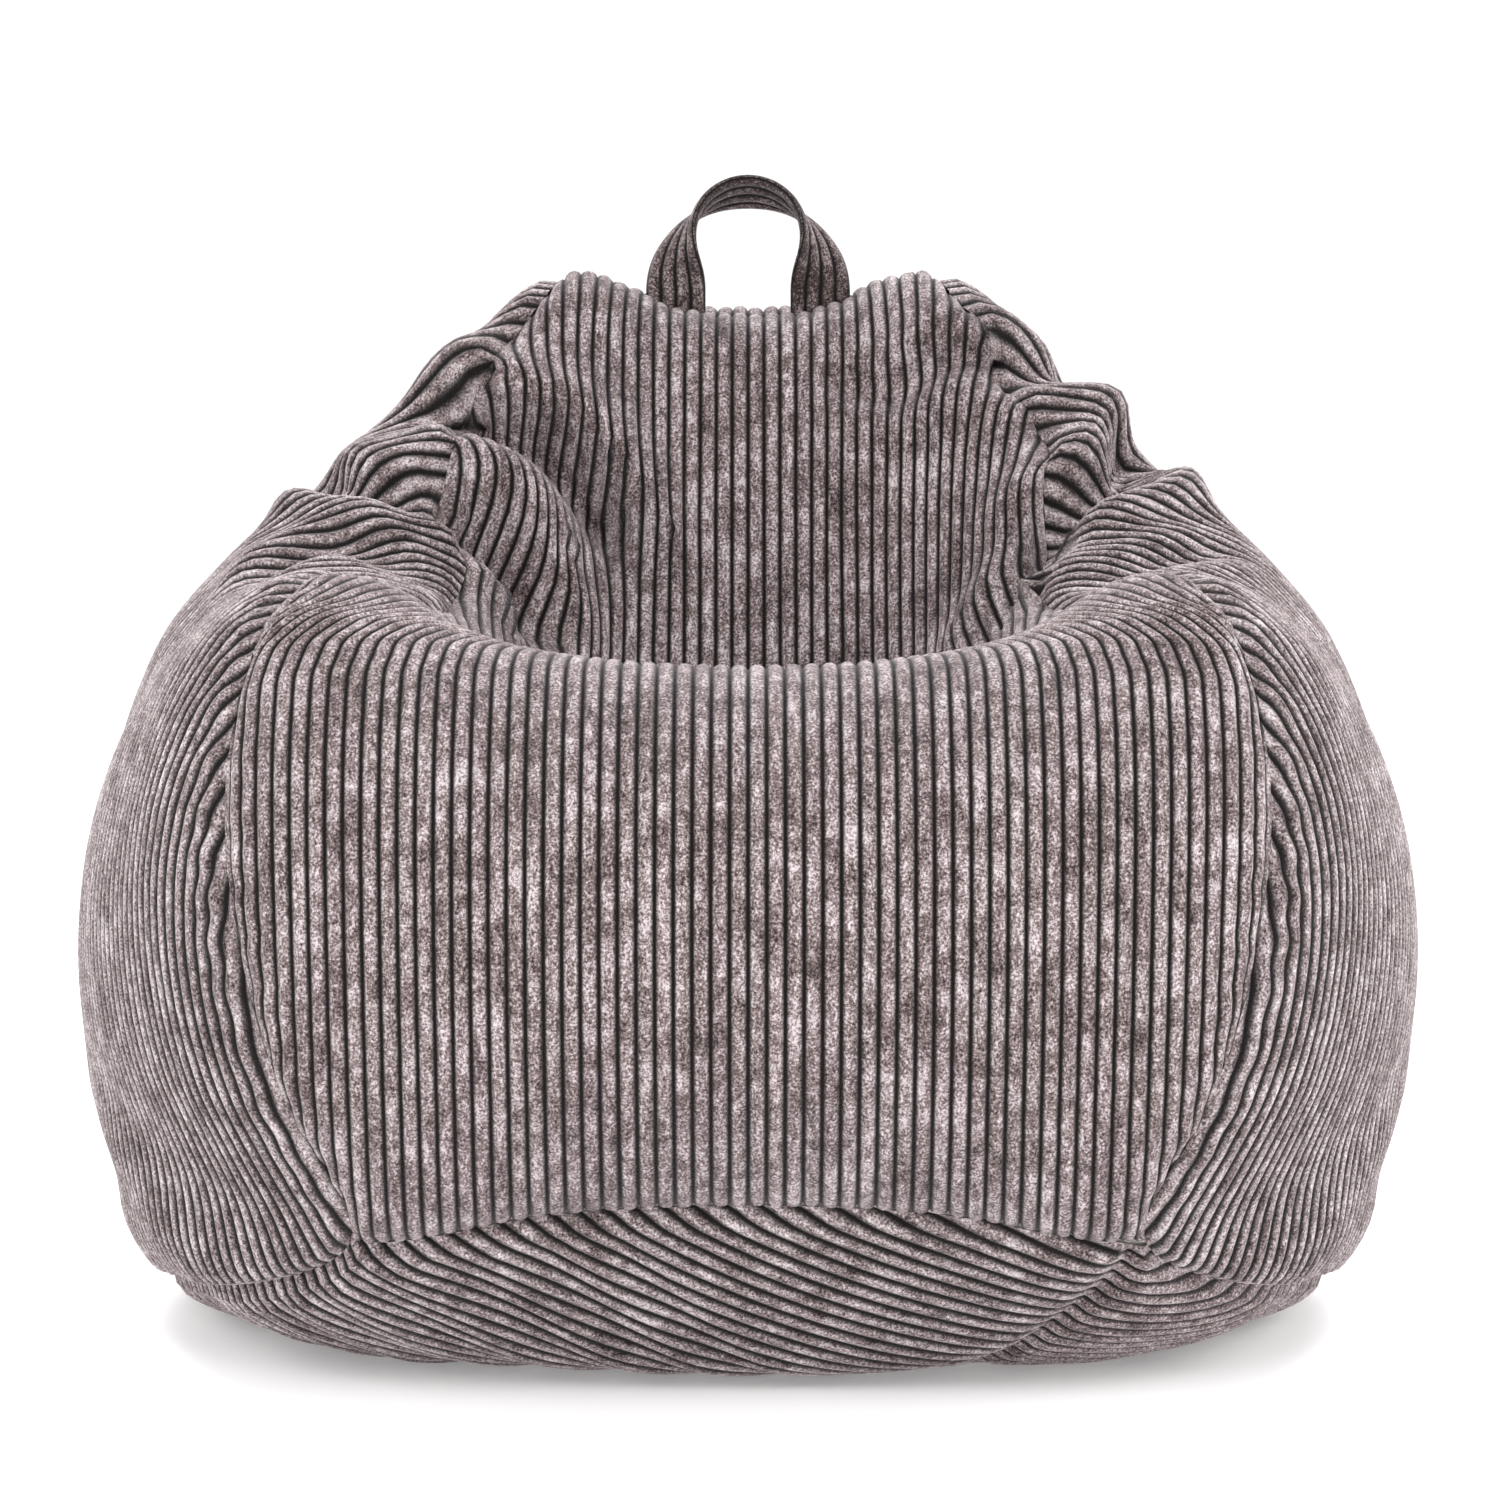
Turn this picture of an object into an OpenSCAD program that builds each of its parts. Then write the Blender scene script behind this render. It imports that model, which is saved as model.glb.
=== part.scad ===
// Bean bag chair in wide-wale corduroy: a sewn outer cover with a scooped seat and a grab
// handle, an inner liner that holds the bead filling, and a zip in the base of each.
// +Z is up, the front faces -Y, and the origin lies on the floor under the middle of the bag.

/* [Bag] */
// Width of the bag, side to side
body_w = 900; // [750:10:1080]
// Depth of the bag, front to back
body_d = 880; // [740:10:1060]
// Height of the bag at its two top corners
body_h = 690; // [580:10:830]
// How far the cover bulges past its side seams (1 = an even curve)
side_puff = 1.0; // [0.9:0.05:1.15]

/* [Outer cover] */
// Thickness of the corduroy, wales included
cover_t = 4; // [3:0.5:5]
// Slack between the cover and the liner
liner_gap = 0.5; // [0.4:0.1:1.5]

/* [Cover zip] */
// Length of the row of teeth, in hundredths of the base seam
zip_share = 52; // [30:1:53]
// Direction of the base seam in plan, in degrees from +X
zip_turn = 132; // [126:1:138]
// Width of one half of the zip's tape
tape_w = 14; // [12:0.5:18]
// Thickness of the tape
tape_t = 0.6; // [0.4:0.1:1]
// Clear slit between the two base panels along the zip
slit_w = 12; // [11:0.5:16]
// Width of the slider
slider_w = 9; // [8.5:0.5:10]
// Length of the slider
slider_l = 11; // [9:0.5:14]

/* [Inner liner] */
// Thickness of the liner cloth
liner_t = 0.8; // [0.6:0.1:1.5]
// Distance between the cover's zip and the liner's, across the base
liner_zip_step = 60; // [45:5:90]
// Length of the liner's row of teeth, in hundredths of the base seam
liner_zip_share = 43; // [26:1:48]
// Gap between the liner and the beads
fill_gap = 0.5; // [0.4:0.1:1.5]

/* [Handle] */
// Height of the handle's loop above its feet
handle_h = 79; // [70:1:140]
// Distance between the middles of the two feet
handle_span = 102; // [84:1:130]
// Width of the strap
strap_w = 42; // [30:1:55]
// Thickness of the strap, two layers of corduroy
strap_t = 7; // [5:0.5:9]

/* [Hidden] */

// ---- shape of the bag -------------------------------------------------------------------
// One row per station round the middle of the bag, from the floor forward, up the front,
// over the lip, down into the seat, up the backrest, over the top and down the back:
// [y, z at the middle,  x, y, z at the side seam,  bulge of the side beyond that seam].
// They are written for a bag 900 wide, 880 deep and 690 high, and scaled to the sizes above.
NET = [
    [  20, -60,  392,   10,  34, 1.00],  // 0 floor, middle
    [-150, -52,  370, -150,  40, 1.00],  // 1 floor, front part
    [-280,   5,  318, -275,  60, 1.00],  // 2 under the front
    [-365, 130,  240, -352, 103, 1.00],  // 3 front base seam
    [-418, 215,  284, -385, 195, 1.00],  // 4 belly
    [-432, 310,  312, -390, 300, 1.00],  // 5 fullest part of the front
    [-405, 398,  322, -362, 400, 1.00],  // 6 under the lip
    [-318, 462,  302, -292, 492, 1.02],  // 7 top of the lip and of the arms
    [-215, 425,  258, -198, 512, 1.14],  // 8 inside of the lip
    [ -80, 345,  205,  -95, 480, 1.34],  // 9 seat
    [  22, 365,  190,   -5, 490, 1.42],  // 10 foot of the backrest
    [  80, 480,  212,   52, 555, 1.18],  // 11 middle of the backrest
    [ 118, 590,  188,  108, 612, 0.98],  // 12 top of the backrest
    [ 152, 652,  146,  156, 676, 0.90],  // 13 front edge of the top
    [ 195, 658,  130,  200, 684, 0.88],  // 14 top seam
    [ 242, 645,  146,  244, 662, 0.88],  // 15 rear edge of the top
    [ 335, 550,  212,  320, 548, 0.94],  // 16 upper back
    [ 428, 360,  296,  380, 360, 1.00],  // 17 middle of the back
    [ 432, 200,  312,  378, 200, 1.00],  // 18 lower back
    [ 368,  80,  268,  340,  84, 1.00],  // 19 rear base seam
    [ 240, -40,  338,  200,  48, 1.00]]; // 20 under the back
FRONT_SEAM = 3;
TOP_SEAM = 14;
REAR_SEAM = 19;
STATIONS = len(NET);
SCALE = [body_w / 900, body_d / 880, body_h / 690];
// the fullest point of each side, where its panel's rings close
POLE = [450, 15, 215];

ROWS = 2;                          // rows of facets from one station to the next
// places across the bag, in control columns: 0 middle, 2 side seam, 5 fullest point of the side
ACROSS = [0, 0.25, 0.5, 0.75, 1, 1.25, 1.5, 1.75, 2, 2.5, 3, 3.5, 4, 4.5];
SEAM_COL = 8;                      // index of the side seam in ACROSS

function wrap(k) = (k % STATIONS + STATIONS) % STATIONS;
function lerp(a, b, t) = a + (b - a) * t;
// a smooth curve through four points, from the second to the third
function curve(a, b, c, d, t) =
    0.5 * (2 * b + (c - a) * t + (2 * a - 5 * b + 4 * c - d) * t * t + (3 * b - a - 3 * c + d) * t * t * t);

// a ring between the side seam and the fullest point: part 0 is at the seam, 1 at that point
function side_ring(k, part) =
    let (n = NET[k], lean = asin(n[2] / POLE[0]), turn = lerp(lean, 90, part),
        out = cos(turn) / cos(lean) * lerp(1, n[5] * side_puff, min(1, part * 3)))
    [POLE[0] * sin(turn), lerp(POLE[1], n[3], out), lerp(POLE[2], n[4], out)];

// control point at station k and column c (0 to 6, a minus sign for the left)
function control(k, c) =
    let (n = NET[wrap(k)], a = abs(c), side = c < 0 ? -1 : 1,
        p = a == 0 ? [0, n[0], n[1]] :
            a == 1 ? [n[2] / 2, lerp(n[0], n[3], 0.25), lerp(n[1], n[4], 0.25)] :
            a == 2 ? [n[2], n[3], n[4]] :
            a < 5 ? side_ring(wrap(k), (a - 2) / 3) :
            a == 5 ? POLE :
            let (q = side_ring(wrap(k), 2 / 3)) [q[0], 2 * POLE[1] - q[1], 2 * POLE[2] - q[2]])
    [side * p[0] * SCALE[0], p[1] * SCALE[1], p[2] * SCALE[2]];

function column(k, c) =
    let (side = c < 0 ? -1 : 1, a = abs(c), i = min(floor(a), 4), t = a - i)
    curve(control(k, side * (i - 1)), control(k, side * i), control(k, side * (i + 1)),
        control(k, side * (i + 2)), t);
// point of the bag's outside at station s and column c, both with fractions
function skin(s, c) =
    let (k = floor(s), t = s - k)
    t == 0 ? column(k, c) : curve(column(k - 1, c), column(k, c), column(k + 1, c), column(k + 2, c), t);
// outward direction there
function outward(s, c) =
    abs(c) > 4.9 ? [sign(c), 0, 0] :
    let (e = 0.1, n = cross(skin(s, c + e) - skin(s, c - e), skin(s + e, c) - skin(s - e, c)))
    n / norm(n);
// point a distance in from the outside, and never lower than floor_z
function inset(s, c, depth, floor_z) =
    let (p = skin(s, c) - depth * outward(s, c)) [p[0], p[1], max(p[2], floor_z)];

RIGHT = [for (c = ACROSS) c];
STRIP = concat([for (i = [SEAM_COL:-1:1]) -ACROSS[i]], [for (i = [0:SEAM_COL]) ACROSS[i]]);
SIDE = [for (i = [SEAM_COL:len(ACROSS) - 1]) ACROSS[i]];
ALL_ROUND = concat([for (i = [len(ACROSS) - 1:-1:1]) -ACROSS[i]], RIGHT);
function stations(from, to) = [for (i = [from * ROWS:to * ROWS]) i / ROWS];

// the two triangles of a facet, seen from outside with a, b, c, d going clockwise; the left half
// of the bag splits its facets the other way, as in a mirror
function facet(a, b, c, d, left = false) = left ? [[a, b, d], [b, c, d]] : [[a, b, c], [a, c, d]];
// a patch of cloth: rows of stations by columns, between the bag's outside and the cloth's back
module patch(rows, cols) {
    m = len(rows);
    n = len(cols);
    pts = [for (d = [[0, CUT], [cover_t, cover_t]], s = rows, c = cols) inset(s, c, d[0], d[1])];
    function at(d, i, j) = (d * m + i) * n + j;
    polyhedron(pts, [
        for (i = [0:m - 2], j = [0:n - 2]) let (left = cols[j] < 0) each concat(
            facet(at(0, i, j), at(0, i + 1, j), at(0, i + 1, j + 1), at(0, i, j + 1), left),
            facet(at(1, i, j), at(1, i, j + 1), at(1, i + 1, j + 1), at(1, i + 1, j), left)),
        for (i = [0:m - 2]) each concat(
            facet(at(0, i, 0), at(1, i, 0), at(1, i + 1, 0), at(0, i + 1, 0)),
            facet(at(0, i, n - 1), at(0, i + 1, n - 1), at(1, i + 1, n - 1), at(1, i, n - 1))),
        for (j = [0:n - 2]) each concat(
            facet(at(0, 0, j), at(0, 0, j + 1), at(1, 0, j + 1), at(1, 0, j)),
            facet(at(0, m - 1, j), at(1, m - 1, j), at(1, m - 1, j + 1), at(0, m - 1, j + 1)))]);
}

// the cloth of one whole side: rings from its seam to the fullest point
module side_cloth(side) {
    rows = stations(0, STATIONS - 1 / ROWS);
    m = len(rows);
    n = len(SIDE);
    layer = m * n + 1;
    pts = [for (d = [[0, CUT], [cover_t, cover_t]]) each concat(
        [for (s = rows, c = SIDE) inset(s, side * c, d[0], d[1])], [inset(0, side * 5, d[0], d[1])])];
    function at(d, i, j) = d * layer + (i % m) * n + j;
    // the left side is the right one in a mirror, so its facets go round the other way
    function way(facets) = side > 0 ? facets : [for (f = facets) [f[0], f[2], f[1]]];
    polyhedron(pts, [for (i = [0:m - 1]) each way(concat(
        [for (j = [0:n - 2]) each concat(
            facet(at(0, i, j), at(0, i + 1, j), at(0, i + 1, j + 1), at(0, i, j + 1)),
            facet(at(1, i, j), at(1, i, j + 1), at(1, i + 1, j + 1), at(1, i + 1, j)))],
        facet(at(0, i, 0), at(1, i, 0), at(1, i + 1, 0), at(0, i + 1, 0)),
        [[at(0, i, n - 1), at(0, i + 1, n - 1), layer - 1],
            [at(1, i, n - 1), 2 * layer - 1, at(1, i + 1, n - 1)]]))]);
}

// the whole closed bag, a depth in from the outside
module bag(depth, floor_z) {
    rows = stations(0, STATIONS - 1 / ROWS);
    m = len(rows);
    n = len(ALL_ROUND);
    left = m * n;
    pts = concat([for (s = rows, c = ALL_ROUND) inset(s, c, depth, floor_z)],
        [inset(0, -5, depth, floor_z), inset(0, 5, depth, floor_z)]);
    function at(i, j) = (i % m) * n + j;
    polyhedron(pts, [for (i = [0:m - 1]) each concat(
        [for (j = [0:n - 2]) each facet(at(i, j), at(i + 1, j), at(i + 1, j + 1), at(i, j + 1),
            ALL_ROUND[j] < 0)],
        [[at(i, 0), left, at(i + 1, 0)], [at(i, n - 1), at(i + 1, n - 1), left + 1]])]);
}

// ---- levels from the floor up -----------------------------------------------------------
CUT = -1.5;                        // the base cloth is made this low, then cut flat at the floor
fit = 0.3;                         // clearance of a slider round its teeth and tape
teeth_t = 1.6;
teeth_w = 2;
teeth_gap = 1.2;                   // between the two rows, where the slider's post runs
plate_t = 1.2;
cover_tape_z = cover_t;
slider_top = cover_tape_z + tape_t + fit + plate_t;
liner_z = slider_top + fit;
liner_tape_z = liner_z + liner_t;
fill_z = liner_tape_z + fill_gap;
liner_depth = cover_t + liner_gap;
fill_depth = liner_depth + liner_t + fill_gap;
BIG = 2 * max(body_w, body_d, body_h);

// ---- the base seam and its two zips -----------------------------------------------------
// the seam runs straight across the base from its front right corner, and the zip's tape starts
// where the base has come down flat on the floor
corner = [NET[FRONT_SEAM][2] * SCALE[0], NET[FRONT_SEAM][3] * SCALE[1]];
base_seam_l = 920 * min(SCALE[0], SCALE[1]);
zip_l = zip_share / 100 * base_seam_l;
liner_zip_l = liner_zip_share / 100 * base_seam_l;
tape_extra = 10;                   // tape beyond each end of the teeth
stop_l = 3;
zip_start = 0.217 * base_seam_l;
zip_mid = corner + (zip_start + tape_extra + zip_l / 2) * [cos(zip_turn), sin(zip_turn)];

// puts its children in the zip's own frame: +X along the seam, +Y towards the back
module on_seam(across = 0) {
    translate([zip_mid[0], zip_mid[1], 0]) rotate([0, 0, zip_turn - 180]) translate([0, across, 0]) children();
}
module tape(side, l, z) {
    translate([-l / 2 - tape_extra, side > 0 ? teeth_gap / 2 : -teeth_gap / 2 - tape_w, z])
        cube([l + 2 * tape_extra, tape_w, tape_t]);
}
module teeth(side, l, z) {
    translate([-l / 2, side > 0 ? teeth_gap / 2 : -teeth_gap / 2 - teeth_w, z]) cube([l, teeth_w, teeth_t]);
}
module stop(end, l, z) {
    translate([end > 0 ? l / 2 : -l / 2 - stop_l, -teeth_gap / 2 - teeth_w, z])
        cube([stop_l, 2 * teeth_w + teeth_gap, teeth_t]);
}
// a slider without a pull tab, moved with the looped wire of a paper clip through its lug;
// low is the outer face of its lower plate, high that of its upper one
module slider(low, high, teeth_low, teeth_high, lug_up) {
    post = teeth_gap - 2 * fit;
    translate([-slider_l / 2, -slider_w / 2, low]) cube([slider_l, slider_w, plate_t]);
    translate([-slider_l / 2, -slider_w / 2, high - plate_t]) cube([slider_l, slider_w, plate_t]);
    translate([slider_l / 2 - 4, -post / 2, low]) cube([3, post, high - low]);
    for (side = [-1, 1])
        translate([-slider_l / 2, side > 0 ? teeth_gap / 2 + teeth_w + fit : -slider_w / 2, teeth_low])
            cube([slider_l, slider_w / 2 - teeth_gap / 2 - teeth_w - fit, teeth_high - teeth_low]);
    translate([-3, -1, lug_up ? high : low - 0.6]) cube([6, 2, 0.6]);
}
rest_x = -zip_l / 2 + slider_l / 2 + 1;
liner_rest_x = -liner_zip_l / 2 + slider_l / 2 + 1;

// ---- outer cover ------------------------------------------------------------------------
module seat_panel() {
    color("#9d8d8c") patch(stations(FRONT_SEAM, TOP_SEAM), STRIP);
}
module back_panel() {
    color("#94847f") patch(stations(TOP_SEAM, REAR_SEAM), STRIP);
}
module left_side_panel() {
    color("#8b7b7a") side_cloth(-1);
}
module right_side_panel() {
    color("#8b7b7a") side_cloth(1);
}
// one of the two base panels: side is -1 in front of the seam and 1 behind it
module base_panel(side) {
    difference() {
        patch(stations(REAR_SEAM, STATIONS + FRONT_SEAM), STRIP);
        translate([-BIG / 2, -BIG / 2, -BIG]) cube([BIG, BIG, BIG]);
        on_seam() {
            translate([-BIG / 2, side > 0 ? -BIG : 0, -BIG / 2]) cube(BIG);
            translate([-zip_l / 2 - stop_l, -slit_w / 2, -BIG / 2])
                cube([zip_l + 2 * stop_l, slit_w, BIG]);
        }
    }
}
module base_front_panel() {
    color("#83736f") base_panel(-1);
}
module base_back_panel() {
    color("#7a6b67") base_panel(1);
}

// ---- cover zip --------------------------------------------------------------------------
module cover_zip_tape(side) {
    color("#6b5a50") on_seam() tape(side, zip_l, cover_tape_z);
}
module cover_zip_teeth(side) {
    color("#5a4b43") on_seam() teeth(side, zip_l, cover_tape_z - teeth_t);
}
module cover_zip_stop(end) {
    color("#b8b8b8") on_seam() stop(end, zip_l, cover_tape_z - teeth_t);
}
module cover_zip_slider() {
    color("#b8b8b8") on_seam() translate([rest_x, 0, 0])
        slider(cover_tape_z - teeth_t - fit - plate_t, slider_top,
            cover_tape_z - teeth_t - fit, cover_tape_z - fit, false);
}

// ---- inner liner ------------------------------------------------------------------------
module liner_part(side) {
    difference() {
        bag(liner_depth, liner_z);
        bag(liner_depth + liner_t, liner_z + liner_t);
        on_seam(liner_zip_step) {
            translate([-BIG / 2, side > 0 ? -BIG : 0, -BIG / 2]) cube(BIG);
            translate([-liner_zip_l / 2 - stop_l, -slit_w / 2, 0])
                cube([liner_zip_l + 2 * stop_l, slit_w, 2 * fill_z]);
        }
    }
}
module liner_zip_tape(side) {
    color("#d9d9d4") on_seam(liner_zip_step) tape(side, liner_zip_l, liner_tape_z);
}
module liner_zip_teeth(side) {
    color("#c9c9c4") on_seam(liner_zip_step) teeth(side, liner_zip_l, liner_tape_z + tape_t);
}
module liner_zip_stop(end) {
    color("#b8b8b8") on_seam(liner_zip_step) stop(end, liner_zip_l, liner_tape_z + tape_t);
}
liner_teeth_z = liner_tape_z + tape_t;
liner_slider_top = liner_teeth_z + teeth_t + fit + plate_t;
module liner_zip_slider() {
    color("#b8b8b8") on_seam(liner_zip_step) translate([liner_rest_x, 0, 0])
        slider(liner_tape_z - fit - plate_t, liner_slider_top,
            liner_teeth_z + fit, liner_teeth_z + teeth_t + fit, false);
}

// ---- filling ----------------------------------------------------------------------------
module bead_fill() {
    channel_w = 2 * tape_w + teeth_gap + 2;
    color("#f4f4f0") difference() {
        bag(fill_depth, fill_z);
        on_seam(liner_zip_step)
            translate([-liner_zip_l / 2 - tape_extra - 2, -channel_w / 2, 0])
                cube([liner_zip_l + 2 * tape_extra + 4, channel_w, liner_slider_top + 2]);
    }
}

// ---- grab handle ------------------------------------------------------------------------
// a flat strap bent to a loop: its faces look forward at the feet and tip up at the crown, and
// each foot ends in a round fold, the line the loop swings on
top_point = skin(TOP_SEAM, 0);
foot_rise = 15;                    // clear of the top seam, so the loop can swing
handle_foot = [0, top_point[1], top_point[2] + foot_rise];
HANDLE_RINGS = 28;
HANDLE_SIDES = 10;
crown_turn = 122;
function loop_at(t) = handle_foot + [-handle_span / 2 * cos(180 * t), 0, (handle_h - strap_t) * pow(sin(180 * t), 0.75)];
function loop_dir(t) = let (e = 0.01, d = loop_at(min(1, t + e)) - loop_at(max(0, t - e))) d / norm(d);
// [how far round the loop, how far round the fold of a foot in degrees] for each ring
RINGS = concat([for (a = [75:-25:25]) [0, a]], [for (i = [0:HANDLE_RINGS]) [i / HANDLE_RINGS, 0]],
    [for (a = [25:25:75]) [1, a]]);
module handle_strap() {
    pts = [for (ring = RINGS) let (t = ring[0], p = loop_at(t) - [0, 0, strap_t / 2 * sin(ring[1])],
        front = [0, -1, 0], inward = cross(loop_dir(t), front), turn = crown_turn * pow(sin(180 * t), 1.2),
        wide = cos(turn) * inward + sin(turn) * front, thick = cos(turn) * front - sin(turn) * inward)
        for (j = [0:HANDLE_SIDES - 1]) let (a = 360 * (j + 0.5) / HANDLE_SIDES)
            p + wide * strap_w / 2 * sign(cos(a)) * pow(abs(cos(a)), 0.4)
              + thick * cos(ring[1]) * strap_t / 2 * sign(sin(a)) * pow(abs(sin(a)), 0.6)];
    last = len(RINGS) - 1;
    function at(i, j) = i * HANDLE_SIDES + j % HANDLE_SIDES;
    color("#7f6f6d") polyhedron(pts, concat(
        [[for (j = [0:HANDLE_SIDES - 1]) j]],
        [[for (j = [HANDLE_SIDES - 1:-1:0]) at(last, j)]],
        [for (i = [0:last - 1], j = [0:HANDLE_SIDES - 1]) each
            [[at(i, j), at(i + 1, j), at(i + 1, j + 1)], [at(i, j), at(i + 1, j + 1), at(i, j + 1)]]]));
}

seat_panel();
left_side_panel();
right_side_panel();
back_panel();
base_front_panel();
base_back_panel();
handle_strap();
cover_zip_tape(-1);  // cover_zip_tape_front
cover_zip_tape(1);  // cover_zip_tape_back
cover_zip_teeth(-1);  // cover_zip_teeth_front
cover_zip_teeth(1);  // cover_zip_teeth_back
cover_zip_stop(-1);  // cover_zip_stop_closed
cover_zip_stop(1);  // cover_zip_stop_open
cover_zip_slider();
color("#dcdcd8") liner_part(-1);  // liner_front
color("#d2d2ce") liner_part(1);  // liner_back
liner_zip_tape(-1);  // liner_zip_tape_front
liner_zip_tape(1);  // liner_zip_tape_back
liner_zip_teeth(-1);  // liner_zip_teeth_front
liner_zip_teeth(1);  // liner_zip_teeth_back
liner_zip_stop(-1);  // liner_zip_stop_closed
liner_zip_stop(1);  // liner_zip_stop_open
liner_zip_slider();
bead_fill();
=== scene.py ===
# %% [markdown]
# # A bean bag chair in wide-wale corduroy
# The chair is a sewn corduroy cover over a liner full of polystyrene beads. Its sizes, seams and
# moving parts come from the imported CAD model, and Blender adds what cloth does: it sags and folds,
# its seams pull in, and every wale of the corduroy stands up as a ridge.
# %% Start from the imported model
import math
import bmesh
import bpy
import numpy as np
from mathutils import Matrix, Vector
from mathutils.bvhtree import BVHTree


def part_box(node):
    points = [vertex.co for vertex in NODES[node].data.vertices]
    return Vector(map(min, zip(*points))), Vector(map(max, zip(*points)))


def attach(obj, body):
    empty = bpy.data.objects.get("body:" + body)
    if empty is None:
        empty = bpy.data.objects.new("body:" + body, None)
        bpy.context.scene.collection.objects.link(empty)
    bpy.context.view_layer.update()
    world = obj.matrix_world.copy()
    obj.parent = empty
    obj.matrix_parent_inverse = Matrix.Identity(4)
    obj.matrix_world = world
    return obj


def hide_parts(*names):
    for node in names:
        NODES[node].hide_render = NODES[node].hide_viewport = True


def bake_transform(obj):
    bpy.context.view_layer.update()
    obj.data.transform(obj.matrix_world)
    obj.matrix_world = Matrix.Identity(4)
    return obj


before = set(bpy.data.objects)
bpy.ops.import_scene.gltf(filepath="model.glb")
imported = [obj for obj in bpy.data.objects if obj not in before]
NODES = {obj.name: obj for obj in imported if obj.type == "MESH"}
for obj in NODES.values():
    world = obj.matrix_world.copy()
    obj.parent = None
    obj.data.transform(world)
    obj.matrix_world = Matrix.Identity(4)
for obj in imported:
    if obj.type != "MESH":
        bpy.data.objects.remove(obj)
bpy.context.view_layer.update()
COVER = ["seat_panel", "back_panel", "left_side_panel", "right_side_panel",
         "base_front_panel", "base_back_panel"]
corners = [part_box(name) for name in COVER]
bag_low = np.min([low for low, high in corners], axis=0)
bag_high = np.max([high for low, high in corners], axis=0)
bag_w, bag_d, bag_h = bag_high - bag_low
print("the bag is", np.round(bag_high - bag_low, 3), "m")

# %% [markdown]
# ## Camera
# A long lens from a little above seat height keeps the wales near the edges as upright as those in
# the middle. The camera stands 3.2 m in front of the bag and looks down by about seven degrees.
# %% Camera
CAMERA_AWAY = 3.2
CAMERA_TILT = math.radians(7.0)
AIM_Z = 0.37
FRAME_WIDTH = 1.011  # metres across the picture at the bag
camera_data = bpy.data.cameras.new("camera")
camera_data.sensor_width = 36
camera_data.lens = 36 * CAMERA_AWAY / FRAME_WIDTH
camera = bpy.data.objects.new("camera", camera_data)
bpy.context.scene.collection.objects.link(camera)
camera.location = (0, -CAMERA_AWAY * math.cos(CAMERA_TILT),
                   AIM_Z - 0.014 + CAMERA_AWAY * math.sin(CAMERA_TILT))
camera.rotation_euler = (Vector((0.0013, 0, AIM_Z)) - camera.location).to_track_quat("-Z", "Y").to_euler()
bpy.context.scene.camera = camera

# %% [markdown]
# ## The skin that carries the cloth
# All the panels lie on one smooth skin. Rays sent inwards at the CAD cover find it, on a net of rows
# that run round the bag from side to side and columns that run across it. The rows are spread evenly
# along the middle of the bag, so the deep seat gets as many as the front.
# %% Rays at the CAD cover
# every part of the skin can be seen from here
HEART = np.array([0, 0.08 / 0.88 * bag_d, 0.15 / 0.69 * bag_h])
ROWS, COLUMNS = 300, 181


def rays_at_cover():
    points, faces, owner = [], [], []
    for k, name in enumerate(COVER):
        mesh = NODES[name].data
        start = len(points)
        points += [v.co.copy() for v in mesh.vertices]
        for polygon in mesh.polygons:
            faces.append([start + v for v in polygon.vertices])
            owner.append(k)
    return BVHTree.FromPolygons(points, faces), owner


cover_tree, cover_owner = rays_at_cover()


def direction(round_angle, side_angle):
    """Unit vector: round_angle turns from straight down to the front and up, side_angle leans to +X."""
    return np.array([math.sin(side_angle), -math.cos(side_angle) * math.sin(round_angle),
                     -math.cos(side_angle) * math.cos(round_angle)])


def skin_at(round_angle, side_angle):
    """Where the cover is in that direction from the heart, and which panel is there."""
    d = direction(round_angle, side_angle)
    start = HEART + d * 1.5
    hit, normal, face, distance = cover_tree.ray_cast(Vector(start), Vector(-d))
    reach = 1.5 - distance if hit else 0
    if d[2] < -0.2 and (not hit or hit[2] > HEART[2] or reach <= 0):
        return HEART + d * HEART[2] / -d[2], 4  # through the zip's slit: the floor is there
    return np.array(hit), cover_owner[face]


middle_angles = np.linspace(0, 2 * math.pi, 721)
middle = np.array([skin_at(a, 0)[0] for a in middle_angles])
along_middle = np.concatenate([[0], np.cumsum(np.linalg.norm(np.diff(middle, axis=0), axis=1))])
row_angle = np.interp(np.arange(ROWS) / ROWS * along_middle[-1], along_middle, middle_angles)
column_angle = np.linspace(-math.pi / 2, math.pi / 2, COLUMNS)
skin = np.array([[skin_at(a, b)[0] for b in column_angle] for a in row_angle])
print("round the middle of the bag:", round(float(along_middle[-1]), 3), "m")


def smoothed(net, times, across=1):
    """Each point drawn to its neighbours' mean, which rounds off the CAD's flat facets."""
    for step in range(times):
        net = 0.5 * net + 0.25 * (np.roll(net, 1, 0) + np.roll(net, -1, 0))
        for more in range(across):
            net[:, 1:-1] = 0.5 * net[:, 1:-1] + 0.25 * (net[:, 2:] + net[:, :-2])
        net[:, 0] = net[:, 1].mean(0)
        net[:, -1] = net[:, -2].mean(0)
    return net


skin = smoothed(skin, 7)
skin = 0.5 * (skin + skin[:, ::-1] * [-1, 1, 1])

# %% [markdown]
# ## Seams
# The seams are where a ray's hit changes from one CAD panel to the next. Halving the gap again and
# again finds each crossing to a fraction of a millimetre.
# %% Seams read from the CAD panels
def crossing(low, high, panel_at, steps=14):
    """The angle at which panel_at stops being what it is at low."""
    first = panel_at(low)
    for step in range(steps):
        half = (low + high) / 2
        if panel_at(half) == first:
            low = half
        else:
            high = half
    return (low + high) / 2


STRIP_PANELS = (0, 1, 4, 5)
side_seam = np.array([crossing(0.0, 1.5, lambda b: skin_at(a, b)[1] in STRIP_PANELS) for a in row_angle])
for again in range(4):
    side_seam = 0.5 * side_seam + 0.25 * (np.roll(side_seam, 1) + np.roll(side_seam, -1))


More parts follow.
